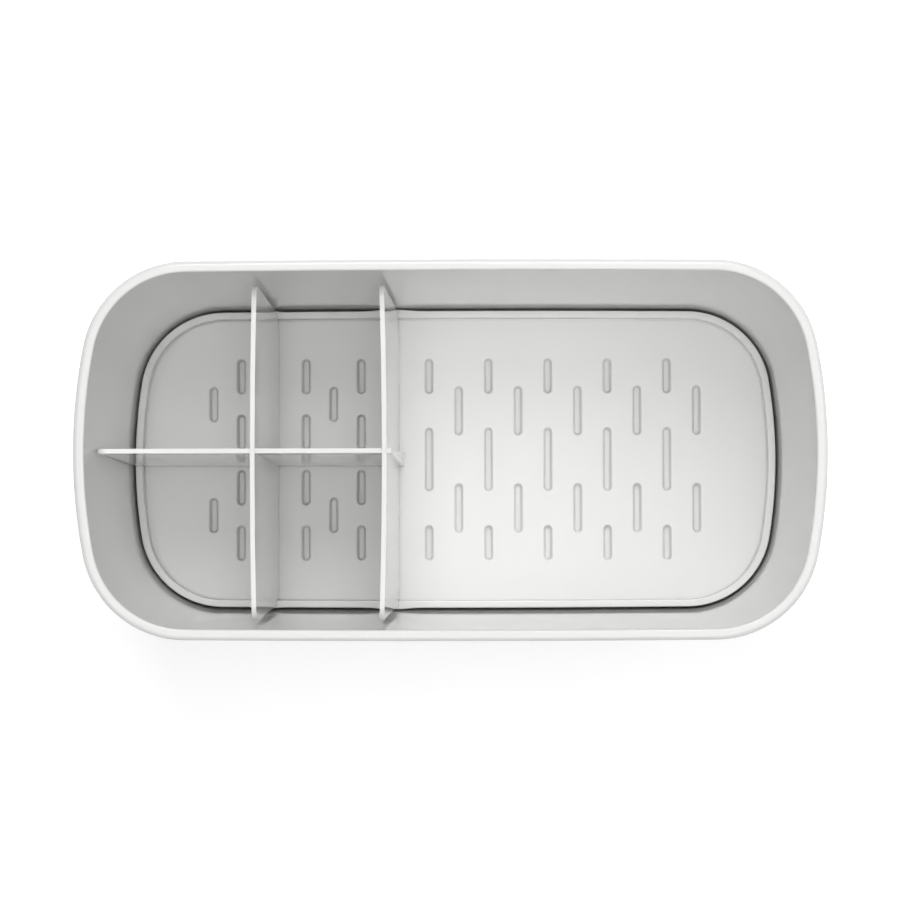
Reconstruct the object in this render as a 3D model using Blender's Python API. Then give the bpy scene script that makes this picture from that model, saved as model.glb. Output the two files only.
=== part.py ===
"""Bathroom caddy: a tapered tub, a slotted drip tray and three dividers that lift out.

Metres, +Z up, +X along the length. The origin is the middle of the footprint, on the
surface that the caddy stands on. The small compartments are at -X.
"""
import math

import bmesh
import bpy

# Tub, measured over its rim
LENGTH = 0.267
WIDTH = 0.1352
HEIGHT = 0.116
CORNER_RADIUS = 0.037
END_RADIUS = 0.196
SIDE_RADIUS = 10.0
WALL_DRAFT = math.radians(3.2)
WALL_THICKNESS = 0.0027

# Rim bead
RIM_WIDTH = 0.0039
RIM_DEPTH = 0.0046
RIM_OUTER_ROUND = 0.0018
RIM_INNER_ROUND = 0.0008

# Tub floor: a moat along the wall and a raised middle, recessed from below
FOOT_STAND = 0.0010
MOAT_FLOOR_THICKNESS = 0.0026
FLOOR_THICKNESS = 0.0024
PLATEAU_RISE = 0.0068
MOAT_WIDTH = 0.0090
MOAT_ROUND = 0.0015
PLATEAU_BATTER = 0.0012
BASE_ROUND = 0.0050

# Feet, pressed into shallow pockets under the floor
FOOT_LENGTH = 0.030
FOOT_WIDTH = 0.0060
FOOT_POCKET = 0.0006
FOOT_FROM_CORNER = 0.006

# Drip tray
TRAY_GAP = 0.0012
TRAY_FLOOR_THICKNESS = 0.0024
LIP_WIDTH = 0.0027
LIP_HEIGHT = 0.0062
LIP_DRAFT = math.radians(1.0)
LIP_OUTER_ROUND = 0.0004
LIP_INNER_ROUND = 0.0004
LIP_FILLET = 0.0006
SKIRT_THICKNESS = 0.0016
SKIRT_DROP = 0.0045
RIGHT_SWELL = 0.0007
RIGHT_SWELL_REACH = 0.012
LEFT_SWELL = 0.0004
LEFT_SWELL_REACH = 0.006

# Drain slots in the tray
SLOT_WIDTH = 0.0031
SHORT_SLOT = 0.0134
MEDIUM_SLOT = 0.0189
LONG_SLOT = 0.0244
SLOT_ROW = 0.02145
MEDIUM_ROW = 0.0188
SMALL_COLUMN_PITCH = 0.01067
MAIN_COLUMN_PITCH = 0.01147
SLOT_END_MARGIN = 0.026
END_FIRST_COLUMN = 0.0121
MIDDLE_FIRST_COLUMN = 0.0130
MAIN_FIRST_COLUMN = 0.0140
MIDDLE_LAST_MARGIN = 0.010

# Dividers
LEFT_DIVIDER_FROM_END = 0.0629
RIGHT_DIVIDER_FROM_END = 0.1094
DIVIDER_BELOW_RIM = 0.019
DIVIDER_TOP_THICKNESS = 0.0017
DIVIDER_DRAFT = math.radians(1.55)
END_CORNER = 0.0036
SIDE_CORNER = 0.0050
END_WALL_GAP = 0.0008
SIDE_WALL_GAP = 0.0019
DIVIDER_LIP_GAP = 0.0006
DIVIDER_EDGE = 0.0003
CROSSING_DEPTH = 0.020
CROSSING_GAP = 0.00015
PARALLEL_MARGIN = 0.001
EAR_WIDTH = 0.0016

# How far the dividers' tops bow sideways, in the middle and near their ends
LEFT_BOW = (-0.00075, -0.00016)
RIGHT_BOW = (0.00027, -0.0005)
LENGTHWISE_BOW = (0.00045, 0.00045)
BOW_REACH = 0.0547

# Clearance between pieces that rest on each other
SEAT_GAP = 0.0003

# Segments of curves
END_SEGMENTS = 5
CORNER_SEGMENTS = 8
SIDE_STATIONS = 5
ROUND_SEGMENTS = 3
SLOT_END_SEGMENTS = 4
BOW_STEPS = 6
BASE_SEGMENTS = 4
LIP_SEGMENTS = 2
PLATE_CORNER_SEGMENTS = 5
SWELL_STEPS = 3
SWELL_CLEAR = 1.2

# Edges sharper than these angles are shaded as sharp, or softened on the dividers
SHARP_FROM = math.radians(35.0)
SOFTEN_FROM = math.radians(50.0)
CUT_TOLERANCE = 1e-6

# Heights that follow from the sizes above
MOAT_FLOOR = FOOT_STAND + MOAT_FLOOR_THICKNESS
PLATEAU_TOP = MOAT_FLOOR + PLATEAU_RISE
TRAY_UNDERSIDE = PLATEAU_TOP + SEAT_GAP
TRAY_FLOOR = TRAY_UNDERSIDE + TRAY_FLOOR_THICKNESS
LIP_TOP = TRAY_FLOOR + LIP_HEIGHT
SKIRT_BOTTOM = TRAY_UNDERSIDE - SKIRT_DROP
DIVIDER_TOP = HEIGHT - DIVIDER_BELOW_RIM
DIVIDER_BOTTOM = TRAY_FLOOR + SEAT_GAP
LAP_HEIGHT = DIVIDER_TOP - CROSSING_DEPTH
PARALLEL_FROM = LAP_HEIGHT - PARALLEL_MARGIN
INNER_CORNER = CORNER_RADIUS - RIM_WIDTH
LEFT_DIVIDER_X = -LENGTH / 2 + LEFT_DIVIDER_FROM_END
RIGHT_DIVIDER_X = -LENGTH / 2 + RIGHT_DIVIDER_FROM_END


def wall_inset(z):
    """How far the tub's inner wall lies inside the rim's outer edge at height z."""
    return RIM_WIDTH + (HEIGHT - z) * math.tan(WALL_DRAFT)


def outer_wall_inset(z):
    return wall_inset(z) - WALL_THICKNESS


def tray_outer_inset(z):
    return wall_inset(z) + TRAY_GAP


def lip_inner_inset(z):
    top = tray_outer_inset(LIP_TOP) + LIP_WIDTH
    return top + (LIP_TOP - z) * math.tan(LIP_DRAFT)


def end_x(inset):
    return LENGTH / 2 - inset


def side_y(inset, x):
    """Half width of an inset outline at a place x along its bowed side."""
    radius = SIDE_RADIUS - inset
    return WIDTH / 2 - inset - radius + math.sqrt(radius * radius - x * x)


def divider_half(z):
    """Half a divider's thickness: even through the half-laps, drafted below them."""
    return DIVIDER_TOP_THICKNESS / 2 + max(PARALLEL_FROM - z, 0.0) * math.tan(DIVIDER_DRAFT)


def bow_at(u, z, bow):
    """How far a divider stands out sideways; its foot is straight."""
    middle, end = bow
    rise = min((z - DIVIDER_BOTTOM) / (PARALLEL_FROM - DIVIDER_BOTTOM), 1.0)
    return rise * (middle + (end - middle) * (u / BOW_REACH) ** 2)


def circle_meet(first, first_radius, second, second_radius):
    """The upper right crossing of two circles."""
    dx, dy = second[0] - first[0], second[1] - first[1]
    span = math.hypot(dx, dy)
    along = (first_radius ** 2 - second_radius ** 2 + span ** 2) / (2 * span)
    across = math.sqrt(first_radius ** 2 - along ** 2)
    foot_x = first[0] + dx * along / span
    foot_y = first[1] + dy * along / span
    meets = [(foot_x + sign * dy * across / span, foot_y - sign * dx * across / span) for sign in (1, -1)]
    return max(meets, key=sum)


def side_stations(swells):
    """Places along the long sides that get a point of the outline."""
    reach = LENGTH / 2 - CORNER_RADIUS - CORNER_RADIUS / 2
    places = [reach * (2 * i / (SIDE_STATIONS - 1) - 1) for i in range(SIDE_STATIONS)]
    for centre, _, half in swells:
        places = [x for x in places if abs(x - centre) > half * SWELL_CLEAR]
        steps = range(-SWELL_STEPS, SWELL_STEPS + 1)
        places += [centre + half * step / SWELL_STEPS for step in steps]
    return sorted(places)


def swell_at(x, swells):
    """How far the tray's edge swells out beside a cross divider."""
    total = 0.0
    for centre, height, half in swells:
        if abs(x - centre) < half:
            total += height * (0.5 + 0.5 * math.cos(math.pi * (x - centre) / half))
    return total


def outline(inset, corner, stations, swells=()):
    """Closed outline with bowed ends, almost straight sides and round corners."""
    end_radius = END_RADIUS - inset
    side_radius = SIDE_RADIUS - inset
    end_centre = (end_x(inset) - end_radius, 0.0)
    side_centre = (0.0, WIDTH / 2 - inset - side_radius)
    centre = circle_meet(end_centre, end_radius - corner, side_centre, side_radius - corner)
    start = math.atan2(centre[1] - end_centre[1], centre[0] - end_centre[0])
    stop = math.atan2(centre[1] - side_centre[1], centre[0] - side_centre[0])
    quarter = []
    for i in range(END_SEGMENTS):
        angle = start * i / END_SEGMENTS
        quarter.append((end_centre[0] + end_radius * math.cos(angle), end_radius * math.sin(angle)))
    for i in range(CORNER_SEGMENTS + 1):
        angle = start + (stop - start) * i / CORNER_SEGMENTS
        quarter.append((centre[0] + corner * math.cos(angle), centre[1] + corner * math.sin(angle)))
    side = [(x, side_y(inset, x) + swell_at(x, swells)) for x in stations]
    points = list(quarter)
    points += reversed(side)
    points += [(-x, y) for x, y in reversed(quarter)]
    points += [(-x, -y) for x, y in quarter[1:]]
    points += [(x, -y) for x, y in side]
    points += [(x, -y) for x, y in reversed(quarter[1:])]
    return points


def arc(centre_inset, centre_z, radius, start, stop, steps=ROUND_SEGMENTS):
    """Profile points (inset, z) on an arc; 0 degrees points inwards, 90 degrees up."""
    points = []
    for i in range(steps + 1):
        angle = math.radians(start + (stop - start) * i / steps)
        points.append((centre_inset + radius * math.cos(angle), centre_z + radius * math.sin(angle)))
    return points


def finish_mesh(name, bm, material):
    """Turns a bmesh into a scene object with outward faces and smooth round stretches."""
    bmesh.ops.recalc_face_normals(bm, faces=bm.faces[:])
    if bm.calc_volume(signed=True) < 0.0:
        bmesh.ops.reverse_faces(bm, faces=bm.faces[:])
    mesh = bpy.data.meshes.new(name)
    bm.to_mesh(mesh)
    bm.free()
    mesh.shade_smooth()
    mesh.set_sharp_from_angle(angle=SHARP_FROM)
    if material is not None:
        mesh.materials.append(material)
    obj = bpy.data.objects.new(name, mesh)
    bpy.context.scene.collection.objects.link(obj)
    return obj


def loft(name, rings, material):
    """One closed body through rings of (points, z), with a flat cap at both ends."""
    bm = bmesh.new()
    loops = [[bm.verts.new((x, y, z)) for x, y in points] for points, z in rings]
    count = len(loops[0])
    for lower, upper in zip(loops, loops[1:]):
        for i in range(count):
            j = (i + 1) % count
            bm.faces.new((lower[i], lower[j], upper[j], upper[i]))
    bm.faces.new(loops[0])
    bm.faces.new(loops[-1])
    return finish_mesh(name, bm, material)


def place(obj, location, parent=None):
    obj.location = location
    if parent is not None:
        obj.parent = parent
        obj.location = [here - there for here, there in zip(location, parent["world_place"])]
    obj["world_place"] = location
    return obj


def cut(obj, cutter):
    """Takes the cutter's shape out of an object and hides the cutter."""
    cutter.hide_render = True
    cutter.display_type = "WIRE"
    modifier = obj.modifiers.new(cutter.name, "BOOLEAN")
    modifier.operation = "DIFFERENCE"
    modifier.solver = "EXACT"
    modifier.object = cutter


def plastic(name, colour, roughness):
    material = bpy.data.materials.new(name)
    material.use_nodes = True
    shader = material.node_tree.nodes["Principled BSDF"]
    shader.inputs["Base Color"].default_value = (*colour, 1.0)
    shader.inputs["Roughness"].default_value = roughness
    shader.inputs["Metallic"].default_value = 0.0
    return material


def pill(bm, centre_x, centre_y, length, width, low, high, along_x=False):
    """A closed prism with round ends, its length along Y or X."""
    points = []
    straight = (length - width) / 2
    for side in (1, -1):
        for i in range(SLOT_END_SEGMENTS + 1):
            angle = math.pi * i / SLOT_END_SEGMENTS
            across = side * width / 2 * math.cos(angle)
            lengthwise = side * (straight + width / 2 * math.sin(angle))
            points.append((lengthwise, -across) if along_x else (across, lengthwise))
    bottom = [bm.verts.new((centre_x + x, centre_y + y, low)) for x, y in points]
    top = [bm.verts.new((centre_x + x, centre_y + y, high)) for x, y in points]
    for i in range(len(points)):
        j = (i + 1) % len(points)
        bm.faces.new((bottom[i], bottom[j], top[j], top[i]))
    bm.faces.new(bottom)
    bm.faces.new(top)


def tub_profile():
    """Tub section as (inset, z, corner radius), from under the floor round to its top."""
    base = FOOT_STAND
    wall_foot = wall_inset(MOAT_FLOOR)
    moat_inner = wall_foot + MOAT_WIDTH
    plateau_edge = moat_inner + PLATEAU_BATTER
    recess_edge = plateau_edge + FLOOR_THICKNESS
    skin_foot = outer_wall_inset(base + BASE_ROUND)
    skin_corner = INNER_CORNER + WALL_THICKNESS
    bead_bottom = HEIGHT - RIM_DEPTH
    bead_step = outer_wall_inset(bead_bottom)
    profile = []

    def add(points, corner, reference=None):
        for inset, z in points:
            radius = corner if reference is None else corner - (inset - reference)
            profile.append((inset, z, radius))

    add([(recess_edge, PLATEAU_TOP - FLOOR_THICKNESS)], INNER_CORNER, wall_foot)
    add([(recess_edge - PLATEAU_BATTER, base)], INNER_CORNER, wall_foot)
    bottom_round = arc(skin_foot + BASE_ROUND, base + BASE_ROUND, BASE_ROUND, 270, 180, BASE_SEGMENTS)
    add(bottom_round, skin_corner, skin_foot)
    add([(bead_step, bead_bottom - bead_step)], skin_corner)
    add([(0.0, bead_bottom)], CORNER_RADIUS, 0.0)
    outer_round = arc(RIM_OUTER_ROUND, HEIGHT - RIM_OUTER_ROUND, RIM_OUTER_ROUND, 180, 90)
    add(outer_round, CORNER_RADIUS, 0.0)
    inner_round = arc(RIM_WIDTH - RIM_INNER_ROUND, HEIGHT - RIM_INNER_ROUND, RIM_INNER_ROUND, 90, 0)
    add(inner_round, CORNER_RADIUS, 0.0)
    foot_round = arc(wall_foot + MOAT_ROUND, MOAT_FLOOR + MOAT_ROUND, MOAT_ROUND, 180, 270)
    add(foot_round, INNER_CORNER, wall_foot)
    add([(moat_inner, MOAT_FLOOR)], INNER_CORNER, wall_foot)
    add([(plateau_edge, PLATEAU_TOP)], INNER_CORNER, wall_foot)
    return profile


def foot_places():
    """Name and centre of each foot, under the flat ring below the moat."""
    ring_outer = outer_wall_inset(FOOT_STAND + BASE_ROUND) + BASE_ROUND
    ring_inner = wall_inset(MOAT_FLOOR) + MOAT_WIDTH + FLOOR_THICKNESS
    inset = (ring_outer + ring_inner) / 2
    x = LENGTH / 2 - CORNER_RADIUS - FOOT_FROM_CORNER - FOOT_LENGTH / 2
    y = side_y(inset, x)
    return [
        ("foot_front_left", -x, -y),
        ("foot_front_right", x, -y),
        ("foot_back_left", -x, y),
        ("foot_back_right", x, y),
    ]


def make_tub(material):
    stations = side_stations(())
    rings = [(outline(inset, corner, stations), z) for inset, z, corner in tub_profile()]
    tub = loft("caddy_body", rings, material)
    bm = bmesh.new()
    for _, x, y in foot_places():
        length = FOOT_LENGTH + 2 * SEAT_GAP
        width = FOOT_WIDTH + 2 * SEAT_GAP
        pill(bm, x, y, length, width, 0.0, FOOT_STAND + FOOT_POCKET, along_x=True)
    cut(tub, finish_mesh("foot_pocket_cutter", bm, None))
    return place(tub, (0.0, 0.0, 0.0))


def make_feet(tub, material):
    for name, x, y in foot_places():
        bm = bmesh.new()
        height = FOOT_STAND + FOOT_POCKET - SEAT_GAP
        pill(bm, 0.0, 0.0, FOOT_LENGTH, FOOT_WIDTH, 0.0, height, along_x=True)
        place(finish_mesh(name, bm, material), (x, y, 0.0), tub)


def tray_profile():
    """Tray section as (inset, z, corner radius, swells), from under its floor to its top."""
    skirt_outer = tray_outer_inset(SKIRT_BOTTOM)
    skirt_inner = skirt_outer + SKIRT_THICKNESS
    lip_foot = lip_inner_inset(TRAY_FLOOR + LIP_FILLET)
    lip_outer = tray_outer_inset(LIP_TOP)
    wall_corner = INNER_CORNER - TRAY_GAP
    profile = []

    def add(points, swells):
        for inset, z in points:
            corner = wall_corner - max(inset - tray_outer_inset(z), 0.0)
            profile.append((inset, z, corner, swells))

    add([(skirt_inner + LIP_FILLET, TRAY_UNDERSIDE), (skirt_inner, TRAY_UNDERSIDE)], False)
    add([(skirt_inner, SKIRT_BOTTOM)], False)
    add([(skirt_outer, SKIRT_BOTTOM)], True)
    add(arc(lip_outer + LIP_OUTER_ROUND, LIP_TOP - LIP_OUTER_ROUND, LIP_OUTER_ROUND, 180, 90), True)
    lip_inner = lip_outer + LIP_WIDTH
    inner_round_at = lip_inner - LIP_INNER_ROUND
    add(arc(inner_round_at, LIP_TOP - LIP_INNER_ROUND, LIP_INNER_ROUND, 90, 0, LIP_SEGMENTS), False)
    add(arc(lip_foot + LIP_FILLET, TRAY_FLOOR + LIP_FILLET, LIP_FILLET, 180, 270), False)
    return profile


def slot_columns():
    """Columns of drain slots as (x, slots), each slot a (y, length) pair."""
    two = [(-SLOT_ROW, SHORT_SLOT), (SLOT_ROW, SHORT_SLOT)]
    four = [(row * SLOT_ROW, SHORT_SLOT) for row in (-1.5, -0.5, 0.5, 1.5)]
    outer_pair = [(-MEDIUM_ROW, MEDIUM_SLOT), (MEDIUM_ROW, MEDIUM_SLOT)]
    long_middle = [(-1.5 * SLOT_ROW, SHORT_SLOT), (0.0, LONG_SLOT), (1.5 * SLOT_ROW, SHORT_SLOT)]
    reach = end_x(lip_inner_inset(TRAY_FLOOR)) - SLOT_END_MARGIN
    columns = []

    def run(first, pitch, last, patterns):
        count = int(abs(last - first) / abs(pitch)) + 1
        for i in range(count):
            columns.append((first + i * pitch, patterns[i % 2]))

    run(LEFT_DIVIDER_X - END_FIRST_COLUMN, -SMALL_COLUMN_PITCH, -reach, (four, two))
    middle_last = RIGHT_DIVIDER_X - MIDDLE_LAST_MARGIN
    run(LEFT_DIVIDER_X + MIDDLE_FIRST_COLUMN, SMALL_COLUMN_PITCH, middle_last, (four, two))
    run(RIGHT_DIVIDER_X + MAIN_FIRST_COLUMN, MAIN_COLUMN_PITCH, reach, (long_middle, outer_pair))
    return columns


def make_tray(tub, material):
    swells = (
        (LEFT_DIVIDER_X, LEFT_SWELL, LEFT_SWELL_REACH),
        (RIGHT_DIVIDER_X, RIGHT_SWELL, RIGHT_SWELL_REACH),
    )
    stations = side_stations(swells)
    rings = []
    for inset, z, corner, swollen in tray_profile():
        points = outline(inset, corner, stations, swells if swollen else ())
        rings.append((points, z - SKIRT_BOTTOM))
    tray = loft("drip_tray", rings, material)
    bm = bmesh.new()
    low = TRAY_UNDERSIDE - SKIRT_BOTTOM - TRAY_FLOOR_THICKNESS
    high = TRAY_FLOOR - SKIRT_BOTTOM + TRAY_FLOOR_THICKNESS
    for x, slots in slot_columns():
        for y, length in slots:
            pill(bm, x, y, length, SLOT_WIDTH, low, high)
    cutter = place(finish_mesh("slot_cutter", bm, None), (0.0, 0.0, SKIRT_BOTTOM))
    cut(tray, cutter)
    return place(tray, (0.0, 0.0, SKIRT_BOTTOM), tub)


def rounded_corner(corner, before, after, radius):
    """Points of a fillet at a corner between two directions given as unit vectors."""
    turn = math.acos(max(-1.0, min(1.0, before[0] * after[0] + before[1] * after[1])))
    trim = radius / math.tan(turn / 2)
    start = (corner[0] + before[0] * trim, corner[1] + before[1] * trim)
    stop = (corner[0] + after[0] * trim, corner[1] + after[1] * trim)
    bisector = (before[0] + after[0], before[1] + after[1])
    length = math.hypot(*bisector)
    away = math.hypot(trim, radius)
    centre = (corner[0] + bisector[0] / length * away, corner[1] + bisector[1] / length * away)
    first = math.atan2(start[1] - centre[1], start[0] - centre[0])
    last = math.atan2(stop[1] - centre[1], stop[0] - centre[0])
    sweep = (last - first + math.pi) % (2 * math.pi) - math.pi
    steps = PLATE_CORNER_SEGMENTS
    angles = [first + sweep * i / steps for i in range(steps + 1)]
    return [(centre[0] + radius * math.cos(a), centre[1] + radius * math.sin(a)) for a in angles]


def wall_end(reach_at, lip_reach, corner_radius):
    """One end of a divider, from its bottom edge up to its rounded top corner, as (u, z).

    reach_at(z) is how far the end reaches towards the tub's wall; lip_reach is how far the
    foot reaches inside the tray's lip.
    """
    shoulder = LIP_TOP + DIVIDER_LIP_GAP
    slope = (reach_at(DIVIDER_TOP) - reach_at(shoulder), DIVIDER_TOP - shoulder)
    length = math.hypot(*slope)
    down = (-slope[0] / length, -slope[1] / length)
    top = (reach_at(DIVIDER_TOP), DIVIDER_TOP)
    points = [(lip_reach - LIP_FILLET, DIVIDER_BOTTOM), (lip_reach, DIVIDER_BOTTOM + LIP_FILLET)]
    points += [(lip_reach, shoulder), (reach_at(shoulder), shoulder)]
    points += rounded_corner(top, down, (-1.0, 0.0), corner_radius)
    return points


def notch(heights, centre, bow):
    """A notch that takes the other divider's thickness, as (u, z) points from -u to +u.

    heights run from the notch's open end to its closed end; bow is the other divider's.
    """
    left = []
    right = []
    for z in heights:
        middle = centre + bow_at(0.0, z, bow)
        half = divider_half(z) + CROSSING_GAP
        left.append((middle - half, z))
        right.append((middle + half, z))
    return left + right[::-1]


def slice_at(bm, place, normal):
    """Adds edges where a plane meets the body, so that it can bend there."""
    everything = bm.verts[:] + bm.edges[:] + bm.faces[:]
    bmesh.ops.bisect_plane(bm, geom=everything, dist=CUT_TOLERANCE, plane_co=place, plane_no=normal)


def plate(name, points, along_x, bow, material, location, parent):
    """A divider with the given (u, z) outline, u along X or Y."""
    bm = bmesh.new()
    sides = [[bm.verts.new((u, side, z)) for u, z in points] for side in (-1.0, 1.0)]
    for i in range(len(points)):
        j = (i + 1) % len(points)
        bm.faces.new((sides[0][i], sides[0][j], sides[1][j], sides[1][i]))
    bm.faces.new(sides[0])
    bm.faces.new(sides[1])
    slice_at(bm, (0.0, 0.0, PARALLEL_FROM), (0.0, 0.0, 1.0))
    if bow[0] != bow[1]:
        for step in range(1 - BOW_STEPS, BOW_STEPS):
            slice_at(bm, (BOW_REACH * step / BOW_STEPS, 0.0, 0.0), (1.0, 0.0, 0.0))
    for vert in bm.verts:
        u, side, z = vert.co
        across = side * divider_half(z) + bow_at(u, z, bow)
        z -= location[2]
        vert.co = (u - location[0], across, z) if along_x else (across, u, z)
    obj = finish_mesh(name, bm, material)
    bevel = obj.modifiers.new("soft_edges", "BEVEL")
    bevel.width = DIVIDER_EDGE
    bevel.segments = 1
    bevel.limit_method = "ANGLE"
    bevel.angle_limit = SOFTEN_FROM
    return place(obj, location, parent)


def make_lengthwise_divider(tray, material):
    """Plate along the length, from the left wall to an ear just past the right cross divider."""
    def reach(z):
        return end_x(wall_inset(z)) - END_WALL_GAP

    lip_reach = end_x(lip_inner_inset(TRAY_FLOOR)) - DIVIDER_LIP_GAP
    left_end = [(-u, z) for u, z in reversed(wall_end(reach, lip_reach, END_CORNER))]
    ear_top = RIGHT_DIVIDER_X + RIGHT_BOW[0] + DIVIDER_TOP_THICKNESS / 2 + CROSSING_GAP + EAR_WIDTH
    ear_foot = ear_top + divider_half(DIVIDER_BOTTOM) - DIVIDER_TOP_THICKNESS / 2
    heights = (DIVIDER_TOP, LAP_HEIGHT - CROSSING_GAP / 2)
    top_edge = notch(heights, LEFT_DIVIDER_X, LEFT_BOW)
    top_edge += notch(heights, RIGHT_DIVIDER_X, RIGHT_BOW)
    points = [(ear_foot, DIVIDER_BOTTOM), (ear_top, PARALLEL_FROM), (ear_top, DIVIDER_TOP)]
    points += reversed(top_edge)
    points += left_end
    location = ((LEFT_DIVIDER_X + RIGHT_DIVIDER_X) / 2, 0.0, DIVIDER_BOTTOM)
    return plate("lengthwise_divider", points, True, LENGTHWISE_BOW, material, location, tray)


def make_cross_divider(name, x, bow, lengthwise, material):
    """Plate across the width, notched from below so that it straddles the lengthwise one."""
    def reach(z):
        return side_y(wall_inset(z), abs(x)) - SIDE_WALL_GAP

    lip_reach = side_y(lip_inner_inset(TRAY_FLOOR), abs(x)) - DIVIDER_LIP_GAP
    right = wall_end(reach, lip_reach, SIDE_CORNER)
    left = [(-u, z) for u, z in reversed(right)]
    heights = (DIVIDER_BOTTOM, PARALLEL_FROM, LAP_HEIGHT + CROSSING_GAP / 2)
    points = notch(heights, 0.0, LENGTHWISE_BOW) + right + left
    return plate(name, points, False, bow, material, (x, 0.0, DIVIDER_BOTTOM), lengthwise)


def build():
    for obj in list(bpy.data.objects):
        bpy.data.objects.remove(obj, do_unlink=True)
    shell = plastic("white_shell_plastic", (0.83, 0.83, 0.82), 0.28)
    tray_plastic = plastic("white_tray_plastic", (0.84, 0.84, 0.83), 0.35)
    divider_plastic = plastic("white_divider_plastic", (0.85, 0.85, 0.84), 0.22)
    elastomer = plastic("grey_elastomer", (0.42, 0.43, 0.43), 0.75)
    tub = make_tub(shell)
    make_feet(tub, elastomer)
    tray = make_tray(tub, tray_plastic)
    lengthwise = make_lengthwise_divider(tray, divider_plastic)
    make_cross_divider("left_cross_divider", LEFT_DIVIDER_X, LEFT_BOW, lengthwise, divider_plastic)
    make_cross_divider("right_cross_divider", RIGHT_DIVIDER_X, RIGHT_BOW, lengthwise, divider_plastic)


build()
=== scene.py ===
"""Looks of the bathroom caddy: finely rounded pieces, moulded plastics, soft light and camera.

Metres, in the same frame as the solids: +X along the length, +Y across, +Z up.
"""
import math

import bmesh
import bpy
from mathutils import Matrix, Vector
from mathutils.geometry import delaunay_2d_cdt


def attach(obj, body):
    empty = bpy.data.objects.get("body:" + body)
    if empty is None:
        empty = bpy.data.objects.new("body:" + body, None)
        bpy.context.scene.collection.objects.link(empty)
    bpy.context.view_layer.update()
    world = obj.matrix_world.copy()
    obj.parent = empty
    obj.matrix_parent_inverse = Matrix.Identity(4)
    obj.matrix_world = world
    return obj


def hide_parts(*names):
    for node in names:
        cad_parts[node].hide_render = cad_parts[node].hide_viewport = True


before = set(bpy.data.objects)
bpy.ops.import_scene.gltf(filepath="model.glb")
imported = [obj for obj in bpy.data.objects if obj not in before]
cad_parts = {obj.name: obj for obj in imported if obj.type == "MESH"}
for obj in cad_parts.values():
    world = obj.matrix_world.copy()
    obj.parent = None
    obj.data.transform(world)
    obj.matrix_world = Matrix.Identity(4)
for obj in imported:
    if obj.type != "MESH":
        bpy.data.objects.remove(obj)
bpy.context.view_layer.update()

# Tub, as in the solids
LENGTH = 0.267
WIDTH = 0.1352
HEIGHT = 0.116
CORNER_RADIUS = 0.037
END_RADIUS = 0.196
SIDE_RADIUS = 10.0
WALL_DRAFT = math.radians(3.2)
WALL_THICKNESS = 0.0027
RIM_WIDTH = 0.0039
RIM_DEPTH = 0.0046
RIM_OUTER_ROUND = 0.0018
RIM_INNER_ROUND = 0.0008
FOOT_STAND = 0.0010
MOAT_FLOOR_THICKNESS = 0.0026
FLOOR_THICKNESS = 0.0024
PLATEAU_RISE = 0.0068
MOAT_WIDTH = 0.0090
MOAT_ROUND = 0.0015
PLATEAU_BATTER = 0.0012
BASE_ROUND = 0.0050
FOOT_LENGTH = 0.030
FOOT_WIDTH = 0.0060
FOOT_POCKET = 0.0006
FOOT_FROM_CORNER = 0.006
SEAT_GAP = 0.0003

# Drip tray, as in the solids
TRAY_GAP = 0.0012
TRAY_FLOOR_THICKNESS = 0.0024
LIP_WIDTH = 0.0027
LIP_HEIGHT = 0.0062
LIP_DRAFT = math.radians(1.0)
LIP_OUTER_ROUND = 0.0004
LIP_INNER_ROUND = 0.0004
# The round in the corner between the lip and the floor, and at the dividers' feet
LIP_FILLET = 0.0006
SKIRT_THICKNESS = 0.0016
SKIRT_DROP = 0.0045
# How far the tray's edge swells out beside each cross divider, and to how far on either side
RIGHT_SWELL = 0.0007
RIGHT_SWELL_REACH = 0.012
LEFT_SWELL = 0.0004
LEFT_SWELL_REACH = 0.006

# Drain slots, as in the solids
SLOT_WIDTH = 0.0031
SHORT_SLOT = 0.0134
MEDIUM_SLOT = 0.0189
LONG_SLOT = 0.0244
SLOT_ROW = 0.02145
MEDIUM_ROW = 0.0188
SMALL_COLUMN_PITCH = 0.01067
MAIN_COLUMN_PITCH = 0.01147
SLOT_END_MARGIN = 0.026
END_FIRST_COLUMN = 0.0121
MIDDLE_FIRST_COLUMN = 0.0130
MAIN_FIRST_COLUMN = 0.0140
MIDDLE_LAST_MARGIN = 0.010

# Dividers, as in the solids
LEFT_DIVIDER_FROM_END = 0.0629
RIGHT_DIVIDER_FROM_END = 0.1094
DIVIDER_BELOW_RIM = 0.019
DIVIDER_TOP_THICKNESS = 0.0017
DIVIDER_DRAFT = math.radians(1.55)
END_CORNER = 0.0036
SIDE_CORNER = 0.0050
END_WALL_GAP = 0.0008
SIDE_WALL_GAP = 0.0019
DIVIDER_LIP_GAP = 0.0006
CROSSING_DEPTH = 0.020
PARALLEL_MARGIN = 0.001
# How far the lengthwise divider runs on past its right notch
EAR_WIDTH = 0.0016

# How far the dividers' tops bow sideways, in the middle and near their ends
LEFT_BOW = (-0.00075, -0.00016)
RIGHT_BOW = (0.00027, -0.0005)
LENGTHWISE_BOW = (0.00045, 0.00045)
BOW_REACH = 0.0547

# A closer half-lap than in the solids, so that no seam shows where the dividers cross
CROSSING_GAP = 0.00001

# Fine rounds of the tub's section, from under the floor round to the raised floor
RECESS_ROUND = 0.0009
RECESS_EDGE_ROUND = 0.0006
BEAD_STEP_ROUND = 0.0005
BEAD_EDGE_ROUND = 0.0007
MOAT_INNER_ROUND = 0.0008
PLATEAU_ROUND = 0.0006

# Fine rounds of the tray's skirt, from its root round to its outer edge
SKIRT_ROOT_ROUND = 0.0005
SKIRT_INNER_ROUND = 0.0003
SKIRT_OUTER_ROUND = 0.0004

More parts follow.
